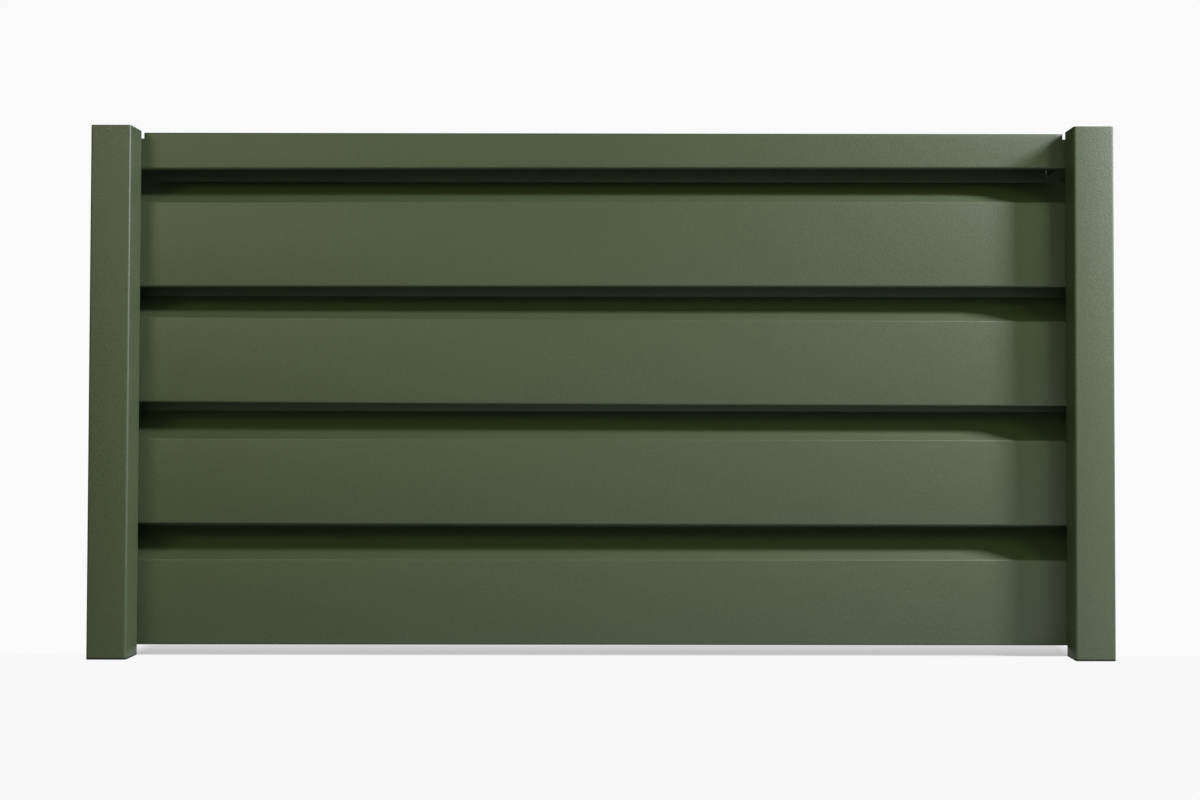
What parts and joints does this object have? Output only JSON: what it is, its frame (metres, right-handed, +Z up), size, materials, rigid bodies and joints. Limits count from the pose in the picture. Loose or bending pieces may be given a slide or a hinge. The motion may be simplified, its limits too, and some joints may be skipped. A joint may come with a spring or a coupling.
{
  "type": "louvred fence panel",
  "caption": "Steel fence bay: folded horizontal louvres under a narrow top strip, fixed to the backs of two rectangular tube posts.",
  "frame": {"origin": "centre of the left post's foot, on the ground", "axes": "+X along the panel from the left post to the right post, +Y from the front to the back, +Z up"},
  "size_m": [1.535, 0.112, 0.8],
  "materials": {
    "powder_coat": "matt fine-texture powder coat, olive green",
    "foot_plug": "matt moulded polyethylene, near black"
  },
  "bodies": {
    "root": {"post_left": "powder_coat", "post_right": "powder_coat", "post_cap_left": "powder_coat", "post_cap_right": "powder_coat", "end_plate_left": "powder_coat", "end_plate_right": "powder_coat", "top_strip": "powder_coat", "louvre_1": "powder_coat", "louvre_2": "powder_coat", "louvre_3": "powder_coat", "louvre_4": "powder_coat", "post_foot_left": "foot_plug", "post_foot_right": "foot_plug"}
  },
  "joints": []
}
